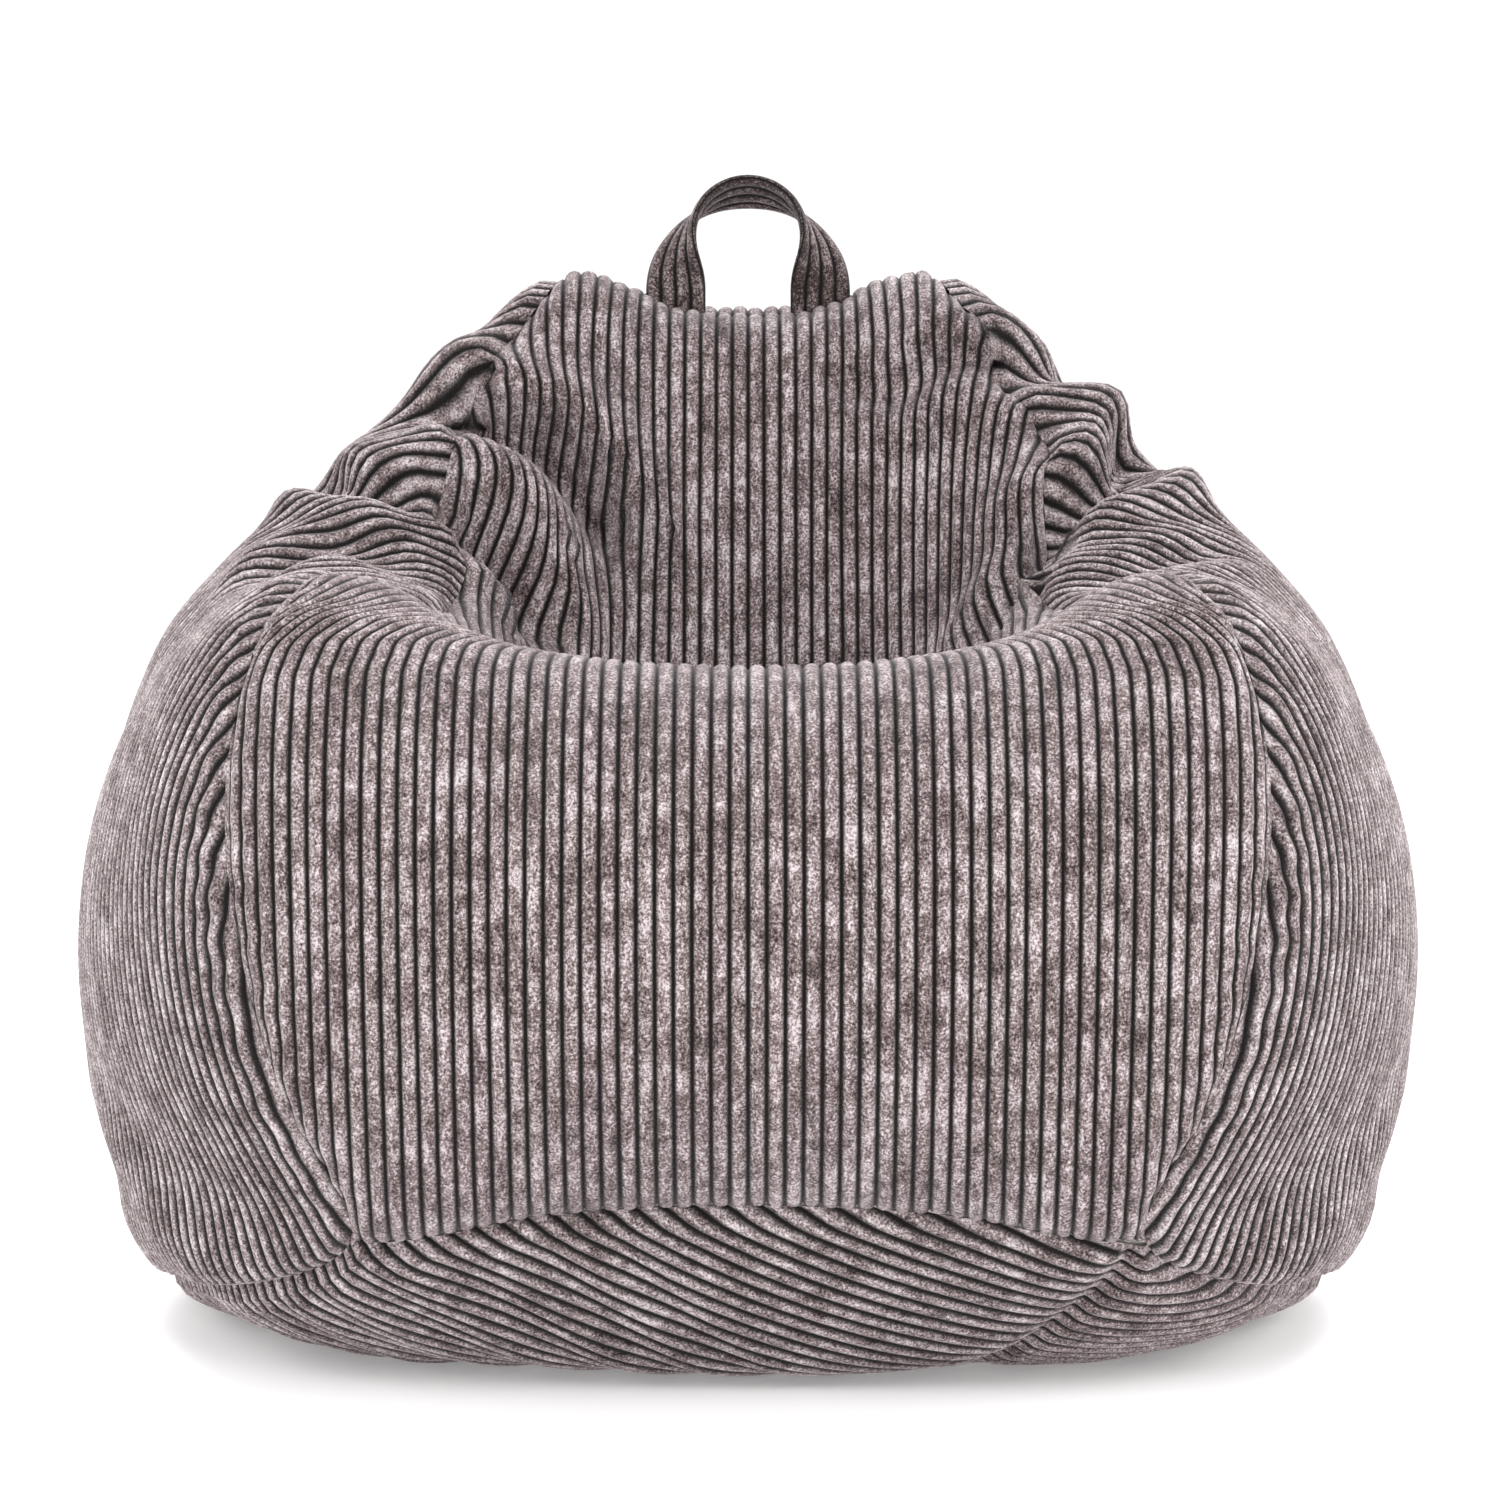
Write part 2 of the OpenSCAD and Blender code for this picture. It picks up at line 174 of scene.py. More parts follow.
def is_base(panel):
    return panel in (4, 5)


def end_seam_between(low, high, test):
    """A seam across the middle strip: its side angles, from the middle to the corner, and round angles."""
    sides, rounds = [], []
    for b in np.linspace(0, 1.2, 61):
        a = crossing(low, high, lambda r: test(skin_at(r, b)[1]))
        if skin_at(a + 0.02, b)[1] in (2, 3) or skin_at(a - 0.02, b)[1] in (2, 3):
            break
        sides.append(b)
        rounds.append(a)
    return np.array(sides), np.array(rounds)


front_seam = end_seam_between(math.radians(25), math.radians(110), is_base)
rear_seam = end_seam_between(math.radians(335), math.radians(250), is_base)
top_seam = end_seam_between(math.radians(160), math.radians(250), lambda p: p == 0)
print("corners reached at", [round(math.degrees(s[0][-1]), 1) for s in (front_seam, top_seam, rear_seam)])

# %% [markdown]
# ## Looking anything up on the skin
# A point of the skin is named by two numbers, a row and a column, both with fractions. A cubic
# curve through the four nearest rows and columns gives a smooth surface between the net's points.
# %% Cubic lookup on a net
def cubic_weights(t):
    return [0.5 * (-t + 2 * t**2 - t**3), 0.5 * (2 - 5 * t**2 + 3 * t**3),
            0.5 * (t + 4 * t**2 - 3 * t**3), 0.5 * (-t**2 + t**3)]


def on_net(net, row, column):
    """Smooth value of a net at fractional rows (going round) and columns (ending at the sides)."""
    row, column = np.asarray(row) % len(net), np.clip(column, 0, net.shape[1] - 1.001)
    i, j = np.floor(row).astype(int), np.floor(column).astype(int)
    total = 0
    for a, wa in enumerate(cubic_weights(row - i)):
        for b, wb in enumerate(cubic_weights(column - j)):
            value = net[(i + a - 1) % len(net), np.clip(j + b - 1, 0, net.shape[1] - 1)]
            total = total + value * (wa * wb)[..., None]
    return total


def row_of(round_angle):
    turned = np.asarray(round_angle) % (2 * math.pi)
    return np.interp(turned, np.append(row_angle, 2 * math.pi), np.arange(ROWS + 1))


def column_of(side_angle):
    return (np.asarray(side_angle) / math.pi + 0.5) * (COLUMNS - 1)


def side_seam_at(round_angle):
    turned = np.asarray(round_angle) % (2 * math.pi)
    return np.interp(turned, np.append(row_angle, 2 * math.pi), np.append(side_seam, side_seam[0]))


def end_seam_at(seam, side_angle):
    return np.interp(np.abs(side_angle), *seam)


def outward_normals(net):
    """Unit normals of a net, pointing out of the bag."""
    along = np.roll(net, -1, 0) - np.roll(net, 1, 0)
    across = np.gradient(net, axis=1)
    normal = np.cross(across, along)
    normal[:, 0], normal[:, -1] = [-1, 0, 0], [1, 0, 0]
    normal /= np.linalg.norm(normal, axis=2, keepdims=True)
    flip = np.sum(normal * (net - HEART), axis=2) < 0
    normal[flip] *= -1
    return normal


# %% [markdown]
# ## Folds and rolls
# Beads don't hold a cloth smooth. It creases where the seat meets the arms, where the arms meet
# the front and at the top corners, and it puffs up between the creases. Each fold is a short line
# over the skin with a depth and a width; the cloth rises a little on both sides of it. The places
# are in metres on a bag of this size, and don't follow a change of it.
# %% Folds
def tree_of(net):
    points = [Vector(p) for p in net.reshape(-1, 3)]
    n = net.shape[1]
    quads = [(i * n + j, i * n + j + 1, (i + 1) % len(net) * n + j + 1, (i + 1) % len(net) * n + j)
             for i in range(len(net)) for j in range(n - 1)]
    return BVHTree.FromPolygons(points, quads)


skin_tree = tree_of(skin)
normals = outward_normals(skin)


def distance_to_line(points, line):
    """Distance from each point to a line of joined pieces, and how far along it the nearest place is."""
    best, where = np.full(points.shape[:-1], 9.0), np.zeros(points.shape[:-1])
    total = len(line) - 1
    for k in range(total):
        a, b = line[k], line[k + 1]
        t = np.clip(np.sum((points - a) * (b - a), axis=-1) / np.dot(b - a, b - a), 0, 1)
        d = np.linalg.norm(points - (a + t[..., None] * (b - a)), axis=-1)
        where = np.where(d < best, (k + t) / total, where)
        best = np.minimum(best, d)
    return best, where


def press_fold(net, line, depth, width, rise=0.5):
    """Press a fold into the skin along a line, fading at both ends, with a raised roll on each side."""
    line = [np.array(skin_tree.find_nearest(Vector(place))[0]) for place in line]
    d, where = distance_to_line(skin, line)
    fade = np.minimum(1, 5 * np.minimum(where, 1 - where) + 0.15)
    shape = -np.exp(-((d / width) ** 2)) + rise * np.exp(-(((d - 2.3 * width) / (1.3 * width)) ** 2))
    return net + normals * (depth * fade * shape)[..., None]


def puff(net, place, height, radius):
    """Raise a soft round lobe where the beads push the cloth out between two folds."""
    middle = np.array(skin_tree.find_nearest(Vector(place))[0])
    d = np.linalg.norm(skin - middle, axis=-1)
    return net + normals * (height * np.exp(-((d / radius) ** 2)))[..., None]


FOLDS = [
    ([(-0.25, 0.11, 0.60), (-0.20, 0.105, 0.60), (-0.165, 0.09, 0.585), (-0.135, 0.095, 0.57),
      (-0.115, 0.09, 0.545), (-0.095, 0.085, 0.515), (-0.093, 0.075, 0.49)], 0.034, 0.016),
    ([(-0.205, 0.045, 0.54), (-0.185, 0.035, 0.52), (-0.17, 0.03, 0.50), (-0.15, 0.025, 0.475),
      (-0.14, 0.02, 0.455), (-0.15, -0.02, 0.44)], 0.030, 0.014),
    ([(0.065, 0.13, 0.62), (0.07, 0.125, 0.61), (0.10, 0.12, 0.608), (0.118, 0.12, 0.615),
      (0.127, 0.125, 0.63), (0.157, 0.125, 0.636), (0.20, 0.14, 0.633)], 0.016, 0.010),
    ([(0.19, 0.02, 0.50), (0.207, 0.03, 0.526), (0.228, 0.043, 0.541), (0.258, 0.058, 0.553),
      (0.28, 0.105, 0.58), (0.30, 0.13, 0.58)], 0.032, 0.015),
    ([(0.15, 0.12, 0.612), (0.20, 0.13, 0.617), (0.24, 0.17, 0.61)], 0.016, 0.013),
    ([(0.145, -0.04, 0.44), (0.16, -0.025, 0.456), (0.178, -0.013, 0.477), (0.19, -0.005, 0.489),
      (0.214, 0.012, 0.51)], 0.026, 0.013),
    ([(0.215, -0.08, 0.485), (0.246, -0.07, 0.50), (0.277, -0.047, 0.503), (0.326, -0.015, 0.508)],
     0.016, 0.012),
    ([(-0.31, 0.11, 0.545), (-0.274, 0.05, 0.548), (-0.253, 0.044, 0.541), (-0.22, 0.034, 0.53)],
     0.022, 0.013),
    ([(-0.33, -0.07, 0.49), (-0.30, -0.04, 0.503), (-0.27, -0.02, 0.51), (-0.22, -0.05, 0.48)], 0.016, 0.012),
]
PUFFS = [
    ((-0.165, 0.065, 0.545), 0.012, 0.034), ((-0.24, 0.0, 0.52), 0.008, 0.04),
    ((-0.25, -0.22, 0.50), 0.006, 0.06), ((0.25, -0.23, 0.50), 0.006, 0.06),
    ((-0.14, 0.18, 0.69), 0.010, 0.05), ((0.14, 0.18, 0.69), 0.010, 0.05),
    ((-0.18, 0.19, 0.67), 0.003, 0.04), ((0.18, 0.19, 0.67), 0.006, 0.04),
    ((-0.31, 0.06, 0.535), 0.005, 0.03), ((0.31, 0.06, 0.545), 0.008, 0.03), ((0.24, 0.0, 0.53), 0.006, 0.03),
    ((-0.39, 0.0, 0.43), 0.010, 0.09), ((0.39, 0.0, 0.43), 0.008, 0.09),
    ((-0.36, -0.08, 0.02), 0.006, 0.06), ((0.36, -0.08, 0.02), 0.006, 0.06),
    ((-0.30, -0.22, 0.02), 0.006, 0.06), ((0.30, -0.22, 0.02), 0.006, 0.06),
    ((-0.35, -0.11, 0.022), 0.007, 0.06), ((0.35, -0.11, 0.022), 0.007, 0.06),
    ((-0.365, -0.01, 0.022), 0.008, 0.07), ((0.365, -0.01, 0.022), 0.008, 0.07),
    ((-0.36, 0.10, 0.022), 0.007, 0.07), ((0.36, 0.10, 0.022), 0.007, 0.07),
    ((0.0, 0.24, 0.65), 0.010, 0.045), ((-0.07, 0.24, 0.655), 0.010, 0.045),
    ((0.07, 0.24, 0.655), 0.010, 0.045),
]
creased, hollowed = skin.copy(), skin.copy()
for line, depth, width in FOLDS:
    creased = press_fold(creased, line, depth, width)
    hollowed = press_fold(hollowed, line, 1.25 * depth, 1.5 * width + 0.006, 0)
for place, height, radius in PUFFS:
    creased = puff(creased, place, height, radius)
creased = smoothed(creased, 1)
creased[..., 2] = np.maximum(creased[..., 2], 0)
print(len(FOLDS), "folds pressed, the deepest", max(f[1] for f in FOLDS), "m")
cloth_normals = outward_normals(creased)

# %% [markdown]
# ## Wale, pitch and seam
# Wide-wale corduroy has rounded ridges about 11 mm apart. Five columns of points to each wale are
# enough for a rounded top with a sharp groove on both sides. Along every seam the cloth dips, and
# close to it small puckers show where the thread has drawn the cloth in.
# %% The shape of the cloth
PITCH = 0.011
WALE_HEIGHT = 0.0034
ACROSS_WALE = [0.0, 0.14, 0.37, 0.63, 0.86]  # where a wale's five columns stand
ROW_STEP = 0.0105


def wale_lift(place):
    """Height of the corduroy at a place counted in wales: 0 on a ridge, down to a groove."""
    return WALE_HEIGHT * (np.abs(np.sin(math.pi * place)) ** 0.65 - 1)


def wale_columns(low, high):
    """All column places between two distances, in metres, set wale by wale."""
    wales = np.arange(math.floor(low / PITCH), math.ceil(high / PITCH) + 1)
    places = (wales[:, None] + np.array(ACROSS_WALE)[None, :]).ravel() * PITCH
    return places[(places >= low) & (places <= high)]


def seam_dip(distance, along):
    """How far the cloth is drawn in, given its distance from the seam and its place along it."""
    tuck = 0.006 * np.exp(-((distance / 0.007) ** 2)) + 0.003 * np.exp(-((distance / 0.022) ** 2))
    pucker = np.sin(along / 0.0058 + 1.7 * np.sin(along / 0.041)) * (0.6 + 0.4 * np.sin(along / 0.093))
    return tuck + 0.0014 * pucker * np.exp(-(((distance - 0.014) / 0.014) ** 2))


def sew_panel(name, row, column, place, along, seam_distance, seam_along):
    """Make one panel of corduroy from a grid of places on the skin."""
    across_n, along_n = row.shape
    point = on_net(creased, row, column)
    normal = on_net(cloth_normals, row, column)
    normal /= np.linalg.norm(normal, axis=-1, keepdims=True)
    point = point + normal * (wale_lift(place / PITCH) - seam_dip(seam_distance, seam_along))[..., None]
    mesh = bmesh.new()
    bmesh.ops.create_grid(mesh, x_segments=across_n - 1, y_segments=along_n - 1, size=1)
    mesh.verts.ensure_lookup_table()
    marks = mesh.loops.layers.uv.new("wales")
    wales, length = place / PITCH, along / PITCH
    for vertex in mesh.verts:
        i, j = vertex.index % across_n, vertex.index // across_n
        vertex.co = Vector(point[i, j])
        for loop in vertex.link_loops:
            loop[marks].uv = (wales[i, j], length[i, j])
    bmesh.ops.remove_doubles(mesh, verts=mesh.verts, dist=0.00002)
    bmesh.ops.dissolve_degenerate(mesh, edges=mesh.edges, dist=0.00002)
    bmesh.ops.recalc_face_normals(mesh, faces=mesh.faces)
    # groove walls look every way, so the whole panel votes on which side is out
    facing = sum(face.calc_area() * face.normal.dot(face.calc_center_median() - Vector(HEART))
                 for face in mesh.faces)
    if facing < 0:
        bmesh.ops.reverse_faces(mesh, faces=mesh.faces)
    for face in mesh.faces:
        face.smooth = True
    data = bpy.data.meshes.new(name)
    mesh.to_mesh(data)
    mesh.free()
    panel = bpy.data.objects.new(name, data)
    bpy.context.scene.collection.objects.link(panel)
    print(name, len(data.polygons), "faces")
    return panel


# %% [markdown]
# ## The long panels
# The seat panel is one piece from the base up the front, over the lip, through the seat and up to
# the top seam. Its wales run straight along it, so each column keeps its distance from the middle
# line, and columns that reach the side seam end there.
# %% Seat and back panels
def strip_panel(name, first_seam, last_seam, turn=0.0):
    """A panel between two end seams, with its wales running along the middle of the bag."""
    side = np.linspace(-1.25, 1.25, 301)
    start, end = end_seam_at(first_seam, side), end_seam_at(last_seam, side)
    middle_start = row_of(start[150])
    middle_length = np.interp([start[150], end[150]], middle_angles, along_middle)
    steps = int(abs(np.diff(middle_length)[0]) / ROW_STEP)
    fraction = np.interp(np.linspace(*middle_length, steps + 1), along_middle, middle_angles)
    fraction = (fraction - start[150]) / (end[150] - start[150])
    angle = start[None, :] + (end - start)[None, :] * fraction[:, None]
    line = on_net(skin, row_of(angle), np.broadcast_to(column_of(side), angle.shape))
    across = np.concatenate([np.zeros((len(line), 1)), np.cumsum(
        np.linalg.norm(np.diff(line, axis=1), axis=2), axis=1)], axis=1)
    across -= across[:, 150:151]
    beyond = np.abs(side)[None, :] - side_seam_at(angle)
    seam = np.array([np.interp(0, beyond[i, 150:], across[i, 150:]) for i in range(len(line))])
    places = wale_columns(-seam.max(), seam.max())
    places = np.concatenate([[-seam.max()], places, [seam.max()]])
    place = np.clip(places[:, None], -seam[None, :], seam[None, :])
    side_here = np.array([np.interp(place[:, i], across[i], side) for i in range(len(line))]).T
    start_here, end_here = end_seam_at(first_seam, side_here), end_seam_at(last_seam, side_here)
    angle_here = start_here + (end_here - start_here) * fraction[None, :]
    down = np.linspace(0, abs(middle_length[1] - middle_length[0]), steps + 1)[None, :]
    end_distance = np.minimum(down, down[:, ::-1])
    edge_distance = seam[None, :] - np.abs(place)
    near_side = edge_distance < end_distance
    return sew_panel(name, row_of(angle_here), column_of(side_here), place, down + 0 * place,
                     np.minimum(edge_distance, end_distance), np.where(near_side, down, place))


seat_panel = strip_panel("seat_panel_cord", front_seam, top_seam)
back_panel = strip_panel("back_panel_cord", top_seam, rear_seam)

# %% [markdown]
# ## The side panels
# Each side is one big round piece. Seen flat, its wales run straight from the floor to the top, so
# from the front they look like rings that follow the bag's outline.
# %% Side panels
REACH = np.arange(0, 0.80, 0.004)


def chart_from_pole():
    """For each row of the right side, the column reached at each distance from the fullest point."""
    half = skin[:, COLUMNS // 2:][:, ::-1]
    length = np.concatenate([np.zeros((ROWS, 1)), np.cumsum(
        np.linalg.norm(np.diff(half, axis=1), axis=2), axis=1)], axis=1)
    columns = np.arange(COLUMNS - 1, COLUMNS // 2 - 1, -1.0)
    table = np.array([np.interp(REACH, length[i], columns) for i in range(ROWS)])
    seam = np.array([np.interp(-column_of(side_seam[i]), -columns, length[i]) for i in range(ROWS)])
    return table[:, :, None], seam


side_table, side_reach = chart_from_pole()


def panel_columns(place, inside, step=0.004, limit=0.8):
    """The two ends of each column of wale, found by walking up it and halving at both edges."""
    walk = np.arange(-limit, limit, step)
    ends = []
    for p in place:
        within = np.nonzero(inside(np.full(walk.shape, p), walk))[0]
        if len(within) < 2:
            ends.append(None)
            continue
        pair = []
        first, last = walk[within[0]], walk[within[-1]]
        for inner, outer in ((first, first - step), (last, last + step)):
            for halving in range(10):
                half = (inner + outer) / 2
                if inside(np.array([p]), np.array([half]))[0]:
                    inner = half
                else:
                    outer = half
            pair.append(inner)
        ends.append(pair)
    return ends


def side_angle_and_reach(place, up):
    angle = np.arctan2(place, -up) % (2 * math.pi)
    return row_of(angle), np.hypot(place, up)


def side_seam_reach(row):
    return np.interp(row % ROWS, np.arange(ROWS + 1), np.append(side_reach, side_reach[0]))


def inside_side(place, up):
    row, reach = side_angle_and_reach(place, up)
    return reach < side_seam_reach(row)


def side_panel(name, side):
    place = wale_columns(-0.8, 0.8)
    ends = panel_columns(place, inside_side)
    kept = [k for k, e in enumerate(ends) if e is not None]
    place = place[kept]
    ends = np.array([ends[k] for k in kept])
    steps = int((ends[:, 1] - ends[:, 0]).max() / ROW_STEP)
    up = ends[:, :1] + (ends[:, 1:] - ends[:, :1]) * np.linspace(0, 1, steps + 1)[None, :]
    place = place[:, None] + 0 * up
    row, reach = side_angle_and_reach(place, up)
    column = on_net(side_table, row, reach / 0.004)[..., 0]
    if side < 0:
        column = COLUMNS - 1 - column
    return sew_panel(name, row, column, place, up, side_seam_reach(row) - reach, row * 0.009)


right_panel = side_panel("right_side_panel_cord", 1)
left_panel = side_panel("left_side_panel_cord", -1)

# %% [markdown]
# ## The base panels
# The base wraps up a little at the front and is cut in two along a slanting seam that holds the
# zip. Its wales run slantwise too, because the base is cut on the bias.
# %% Base panels
ZIP_ALONG = np.array([math.cos(math.radians(-48)), math.sin(math.radians(-48))])
ZIP_ACROSS = np.array([-ZIP_ALONG[1], ZIP_ALONG[0]])
teeth_box = np.array([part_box("cover_zip_teeth_front"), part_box("cover_zip_teeth_back")])
ZIP_MIDDLE = (teeth_box[:, 0].min(axis=0) + teeth_box[:, 1].max(axis=0))[:2] / 2
ZIP_HALF = np.ptp(teeth_box[:, :, 0]) / 2 / ZIP_ALONG[0]
BASE_LEAN = math.radians(28)  # the wales' direction on the base, from +X
BASE_ROWS = 360


def base_direction(plan_angle, from_down):
    """Round and side angles of a direction given by its plan angle and its angle from straight down."""
    x = np.sin(from_down) * np.cos(plan_angle)
    y = np.sin(from_down) * np.sin(plan_angle)
    return np.arctan2(-y, np.cos(from_down)) % (2 * math.pi), np.arcsin(np.clip(x, -1, 1))


def inside_base(round_angle, side_angle):
    front = (round_angle < math.pi) & (round_angle < end_seam_at(front_seam, side_angle))
    rear = (round_angle >= math.pi) & (round_angle > end_seam_at(rear_seam, side_angle))
    return (front | rear) & (np.abs(side_angle) < side_seam_at(round_angle))


def chart_from_below():
    """For each plan direction, the angle from straight down at each distance over the base, and its edge."""
    down = np.radians(np.linspace(0, 105, 211))
    plan = np.arange(BASE_ROWS) / BASE_ROWS * 2 * math.pi
    round_angle, side_angle = base_direction(plan[:, None], down[None, :])
    line = on_net(skin, row_of(round_angle), column_of(side_angle))
    length = np.concatenate([np.zeros((BASE_ROWS, 1)), np.cumsum(
        np.linalg.norm(np.diff(line, axis=1), axis=2), axis=1)], axis=1)
    table = np.array([np.interp(REACH, length[i], down) for i in range(BASE_ROWS)])
    within = inside_base(round_angle, side_angle)
    edge = []
    for i in range(BASE_ROWS):
        last = int(np.argmin(within[i]))
        low, high = down[last - 1], down[last]
        for halving in range(12):
            half = (low + high) / 2
            if inside_base(*base_direction(plan[i], half)):
                low = half
            else:
                high = half
        edge.append(np.interp(low, down, length[i]))
    return table[:, :, None], np.array(edge)


base_table, base_edge = chart_from_below()


def base_place(place, along):
    """Row and column of the skin, distance to the base's edge, for a place on the base's own flat plan."""
    x = math.cos(BASE_LEAN) * along - math.sin(BASE_LEAN) * place
    y = math.sin(BASE_LEAN) * along + math.cos(BASE_LEAN) * place
    turn = (np.arctan2(y, x) % (2 * math.pi)) / (2 * math.pi) * BASE_ROWS
    reach = np.hypot(x, y)
    down = on_net(base_table, turn, reach / 0.004)[..., 0]
    round_angle, side_angle = base_direction(turn / BASE_ROWS * 2 * math.pi, down)
    edge = np.interp(turn % BASE_ROWS, np.arange(BASE_ROWS + 1), np.append(base_edge, base_edge[0]))
    return row_of(round_angle), column_of(side_angle), edge - reach


def zip_distance(row, column):
    """Distance past the base seam, towards the back, less half the zip's opening where there is one."""
    point = on_net(skin, row, column)
    across = (point[..., :2] - ZIP_MIDDLE) @ ZIP_ACROSS
    along = (point[..., :2] - ZIP_MIDDLE) @ ZIP_ALONG
    return across, np.where(np.abs(along) < ZIP_HALF + 0.003, 0.006, 0.0), along


def base_panel(name, side):
    def inside(place, along):
        row, column, edge = base_place(place, along)
        across, slit, _ = zip_distance(row, column)
        return (edge > 0) & (side * across > slit)
    place = wale_columns(-0.6, 0.6)
    ends = panel_columns(place, inside, limit=0.66)
    kept = [k for k, e in enumerate(ends) if e is not None]
    place, ends = place[kept], np.array([ends[k] for k in kept])
    steps = int((ends[:, 1] - ends[:, 0]).max() / ROW_STEP)
    along = ends[:, :1] + (ends[:, 1:] - ends[:, :1]) * np.linspace(0, 1, steps + 1)[None, :]
    place = place[:, None] + 0 * along
    row, column, edge = base_place(place, along)
    across, slit, zip_along = zip_distance(row, column)
    to_seam = np.where(slit > 0, 0.02, np.abs(across))
    return sew_panel(name, row, column, place, along, np.minimum(np.maximum(edge, 0), to_seam),
                     np.where(edge < to_seam, row * 0.009, zip_along))


base_front = base_panel("base_front_panel_cord", -1)
base_back = base_panel("base_back_panel_cord", 1)

# %% [markdown]
# ## Inside the cover
# The liner and the beads follow the cover's own folds a little way in, so they never show through.
# They are coarse, because they are only seen if the zip is open.
# %% Liner and beads
def inner_bag(name, depth, floor, cut=None):
    """A closed bag a depth inside the folded skin, cut along the liner's zip if a side is given."""
    inner = smoothed(hollowed - normals * depth, 2)[::2, ::2]
    mesh = bmesh.new()
    across_n, along_n = inner.shape[1], len(inner)
    bmesh.ops.create_grid(mesh, x_segments=across_n - 1, y_segments=along_n, size=1)
    mesh.verts.ensure_lookup_table()
    for vertex in mesh.verts:
        i, j = vertex.index // across_n % along_n, vertex.index % across_n
        vertex.co = Vector(inner[i, j])
        vertex.co.z = max(vertex.co.z, floor)
    bmesh.ops.remove_doubles(mesh, verts=mesh.verts, dist=0.0004)
    if cut is not None:
        middle = ZIP_MIDDLE + 0.060 * ZIP_ACROSS
        bmesh.ops.bisect_plane(mesh, geom=mesh.verts[:] + mesh.edges[:] + mesh.faces[:],
                               plane_co=(*middle, 0), plane_no=(*(ZIP_ACROSS * cut), 0), clear_inner=True)
    bmesh.ops.recalc_face_normals(mesh, faces=mesh.faces)
    for face in mesh.faces:
        face.smooth = True
    data = bpy.data.meshes.new(name)
    mesh.to_mesh(data)
    mesh.free()
    bag = bpy.data.objects.new(name, data)
    bpy.context.scene.collection.objects.link(bag)
    return bag


liner_front = inner_bag("liner_front_cloth", 0.012, 0.0066, -1)
liner_back = inner_bag("liner_back_cloth", 0.012, 0.0066, 1)
beads = inner_bag("beads", 0.016, 0.0125)

# %% [markdown]
# ## The grab handle
# The handle is a strap of the same corduroy, four wales wide on each face. Its feet face forward in
# the top seam, and it twists on its way up, so that at the crown its edge faces forward.
# %% Handle
HANDLE_SPAN, STRAP_WIDTH, STRAP_HALF = 0.102, 0.042, 0.0028
CROWN_TURN = math.radians(122)
handle_low, handle_high = (np.array(p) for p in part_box("handle_strap"))
FOLD_LINE = np.array([0, 0.195 / 0.88 * bag_d, handle_low[2] + 0.0035])
LOOP_RISE = handle_high[2] - FOLD_LINE[2] - 0.0141


def strap_path(t):
    """Middle of the strap at t from one sewn-in end (0) to the other (1)."""
    rise = np.clip((t - 0.1) / 0.8, 0, 1)
    below = np.clip(0.1 - np.minimum(t, 1 - t), 0, 1) / 0.1 * 0.016
    x = -HANDLE_SPAN / 2 * np.cos(math.pi * rise)
    z = FOLD_LINE[2] + LOOP_RISE * np.sin(math.pi * rise) ** 0.75 - below
    return np.stack([x, FOLD_LINE[1] + 0 * t, z], axis=-1), rise


def sew_handle():
    t = np.linspace(0, 1, 141)
    middle, rise = strap_path(t)
    for again in range(3):
        middle[1:-1] = (middle[:-2] + 2 * middle[1:-1] + middle[2:]) / 4
    along = np.gradient(middle, axis=0)
    along /= np.linalg.norm(along, axis=1, keepdims=True)
    front = np.array([0, -1.0, 0])
    inward = np.cross(along, front)
    turn = CROWN_TURN * np.sin(math.pi * rise)[:, None] ** 0.8
    wide = np.cos(turn) * inward + np.sin(turn) * front
    thick = np.cos(turn) * front - np.sin(turn) * inward
    wales = 4
    steps = np.linspace(0, wales, wales * 8 + 1)
    outline = []  # round the strap: one face, an edge, the other face, the other edge
    for face in (1, -1):
        for s in steps:
            across = (s / wales - 0.5) * face
            round_edge = (1 - abs(2 * across) ** 6) ** 0.5
            wale = 0.0022 * (abs(math.sin(math.pi * s)) ** 0.65 - 1)
            lift = (STRAP_HALF + wale) * round_edge + 0.0008
            outline.append((across * STRAP_WIDTH, lift * face, s))
    length = np.concatenate([[0], np.cumsum(np.linalg.norm(np.diff(middle, axis=0), axis=1))])
    mesh = bmesh.new()
    around = len(outline)
    bmesh.ops.create_grid(mesh, x_segments=around, y_segments=len(t) - 1, size=1)
    mesh.verts.ensure_lookup_table()
    marks = mesh.loops.layers.uv.new("wales")
    for vertex in mesh.verts:
        j, i = vertex.index % (around + 1), vertex.index // (around + 1)
        w, h, s = outline[j % around]
        vertex.co = Vector(middle[i] + wide[i] * w + thick[i] * h)
        for loop in vertex.link_loops:
            loop[marks].uv = (s, length[i] / PITCH)
    bmesh.ops.remove_doubles(mesh, verts=mesh.verts, dist=0.00003)
    open_edges = [e for e in mesh.edges if e.is_boundary]
    bmesh.ops.holes_fill(mesh, edges=open_edges, sides=0)
    bmesh.ops.recalc_face_normals(mesh, faces=mesh.faces)
    for face in mesh.faces:
        face.smooth = True
    data = bpy.data.meshes.new("handle_cord")
    mesh.to_mesh(data)
    mesh.free()
    handle = bpy.data.objects.new("handle_cord", data)
    bpy.context.scene.collection.objects.link(handle)
    print("handle", round(float(length[-1]), 3), "m of strap")
    return handle, float(length[-1])


handle, strap_length = sew_handle()

